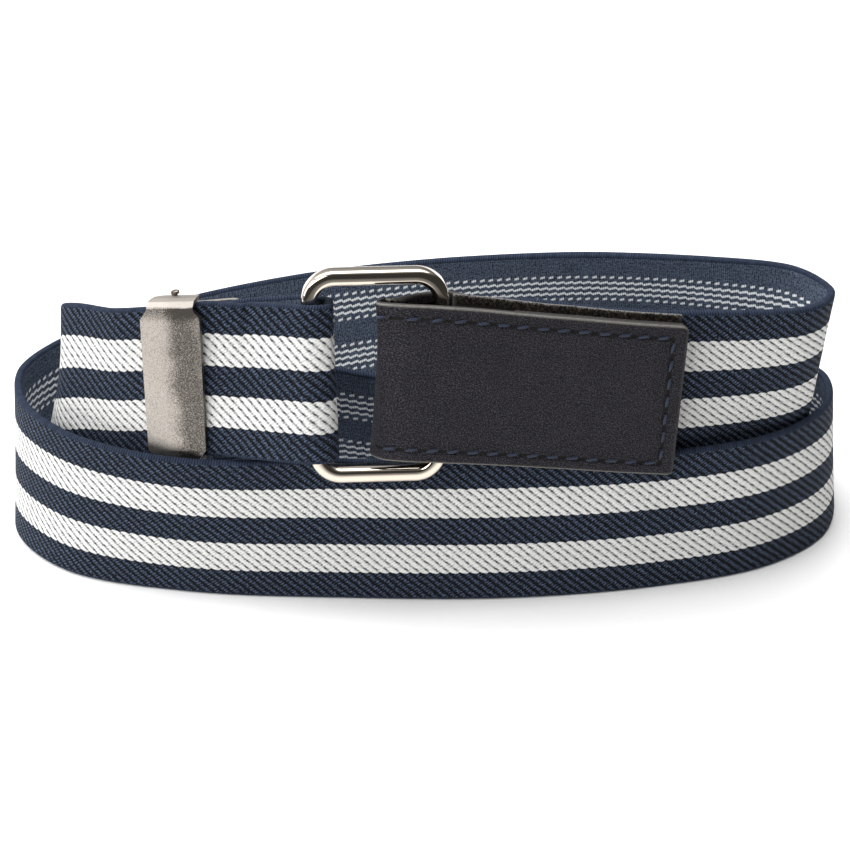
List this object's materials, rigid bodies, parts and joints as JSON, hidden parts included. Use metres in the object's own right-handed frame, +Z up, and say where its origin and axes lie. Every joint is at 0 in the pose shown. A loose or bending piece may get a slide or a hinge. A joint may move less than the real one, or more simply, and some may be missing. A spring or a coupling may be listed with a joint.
{
  "type": "elastic belt",
  "caption": "Striped elastic webbing belt, coiled, with a slider, a metal ring at the front and a leather tab that folds through the ring and closes on touch tape.",
  "frame": {"origin": "centre of the bounding box at the lower edge of the coil, where it stands", "axes": "+X along the front of the coil towards the wearer's closing tab, +Y from the front run to the back of the coil, +Z up the strap's width"},
  "size_m": [0.168, 0.0692, 0.0679],
  "materials": {
    "striped_webbing": "woven elastic, navy with two white stripes on the face and beaded white rows on the reverse",
    "black_leather": "fine grained leather, semi matt, burnished edges",
    "touch_tape": "dark hook and loop tape",
    "polished_nickel": "polished warm nickel plate",
    "satin_nickel": "satin nickel plate, finely grained",
    "steel_pin": "darkened steel rivet"
  },
  "bodies": {
    "belt": {"webbing": "striped_webbing", "ring": "polished_nickel", "leather_tab": "black_leather", "hook_pad": "touch_tape", "loop_pad": "touch_tape", "slider_plate": "satin_nickel", "slider_pin": "steel_pin"},
    "lever": {"slider_lever": "satin_nickel"}
  },
  "joints": [
    {"name": "lever_hinge", "type": "hinge", "parent": "belt", "child": "lever", "pos_m": [-0.04618, -0.01852, 0.04316], "axis": [-0.0044, 0.0832, 0.9965], "range_deg": [0, 95]}
  ]
}
